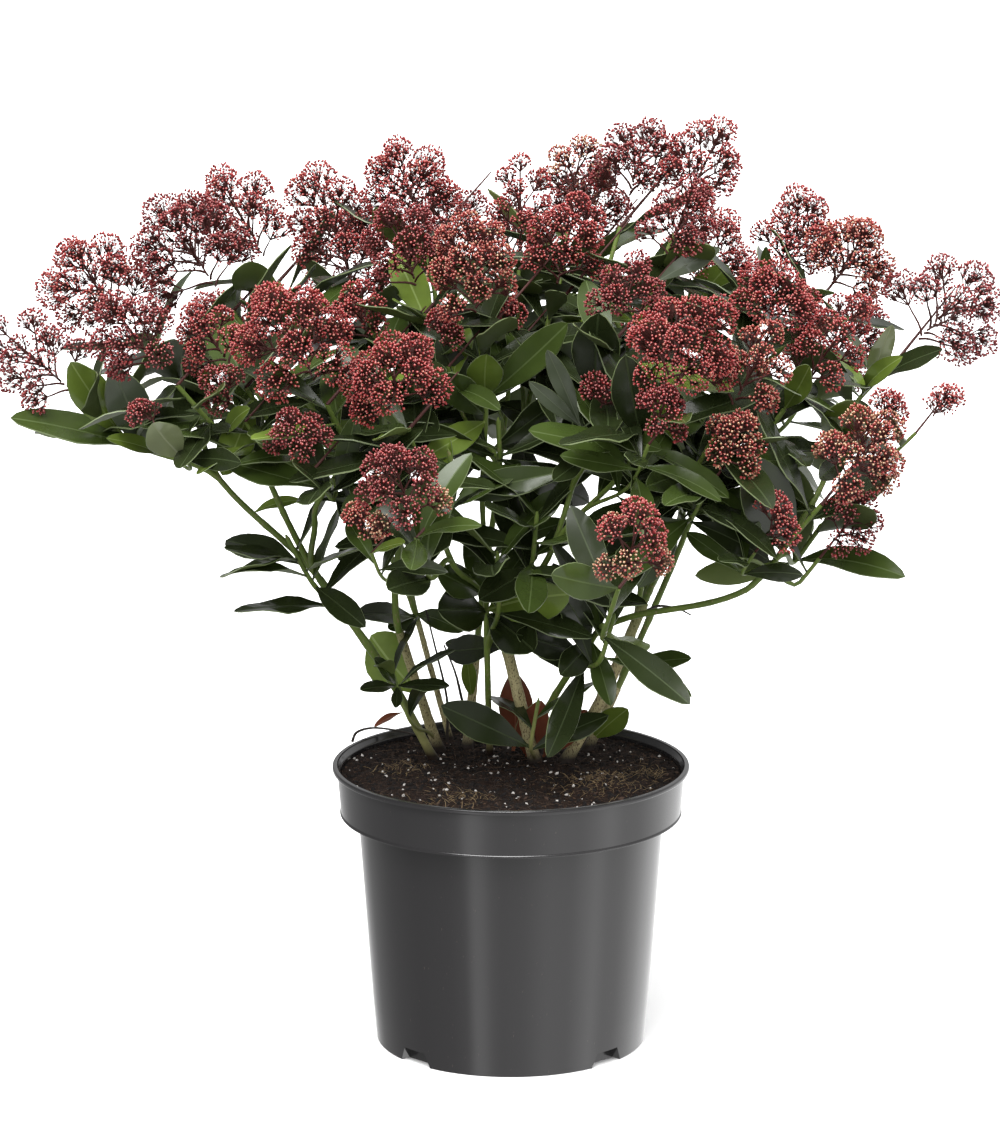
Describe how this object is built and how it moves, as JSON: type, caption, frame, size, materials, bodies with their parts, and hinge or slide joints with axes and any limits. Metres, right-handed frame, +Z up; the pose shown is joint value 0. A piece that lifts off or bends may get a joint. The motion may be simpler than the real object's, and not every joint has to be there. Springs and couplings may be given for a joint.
{
  "type": "potted skimmia",
  "caption": "Bushy evergreen shrub with a clump of stems, whorls of leathery leaves and panicles of closed red winter buds, standing in a round black nursery pot.",
  "frame": {"origin": "middle of the pot's flat underside", "axes": "+Z up through the pot's middle, +X to the right and -Y towards the front of the plant, the side with the widest open view of the stems"},
  "size_m": [0.6288, 0.5432, 0.589],
  "materials": {
    "pot": "glossy black injection-moulded polypropylene, a little scuffed",
    "compost": "moist dark peaty compost with fibres, bark crumbs and white perlite",
    "bark": "thin pale tan bark, finely ridged and dotted",
    "green_shoots": "smooth green young wood, tan and rough towards the foot",
    "foliage": "glossy dark green leaves, paler beneath, with crimson bud clusters"
  },
  "bodies": {
    "root": {"pot": "pot", "compost": "compost", "stem_left_pale": "bark", "stem_left_thin": "bark", "stem_centre_back": "bark", "stem_centre": "bark", "stem_right": "bark", "stem_right_back": "bark", "stem_left_green": "green_shoots", "stem_tall_green": "green_shoots", "stem_front_green": "green_shoots", "bough_left_low": "green_shoots", "bough_left_mid": "green_shoots", "bough_left_inner": "green_shoots", "bough_left_up": "green_shoots", "bough_left_rear": "green_shoots", "bough_rear_left": "green_shoots", "bough_rear": "green_shoots", "bough_tall": "green_shoots", "bough_front_left": "green_shoots", "bough_centre": "green_shoots", "bough_front_right": "green_shoots", "bough_right_long": "green_shoots", "bough_right_outer": "green_shoots", "bough_right_inner": "green_shoots", "bough_right_up": "green_shoots", "bough_right_rear": "green_shoots", "bough_rear_right": "green_shoots", "mass_far_left": "foliage", "mass_left_outer": "foliage", "mass_left_front": "foliage", "mass_left_inner": "foliage", "mass_left_high": "foliage", "mass_left_up": "foliage", "mass_rear_left_top": "foliage", "mass_rear_left": "foliage", "mass_tall": "foliage", "mass_front_left_high": "foliage", "mass_front_left": "foliage", "mass_centre_top": "foliage", "mass_centre_rear": "foliage", "mass_front_right_high": "foliage", "mass_front_right": "foliage", "mass_front_low": "foliage", "mass_right_inner": "foliage", "mass_right_side": "foliage", "mass_right_top": "foliage", "mass_right_top_rear": "foliage", "mass_right_high": "foliage", "mass_far_right": "foliage", "mass_right_low": "foliage", "mass_rear": "foliage", "mass_rear_low": "foliage", "mass_rear_right_top": "foliage", "mass_rear_right": "foliage", "mass_leaves_left": "foliage", "mass_leaves_low_left": "foliage", "mass_leaves_centre": "foliage", "mass_leaves_right": "foliage", "mass_leaves_low": "foliage"}
  },
  "joints": []
}
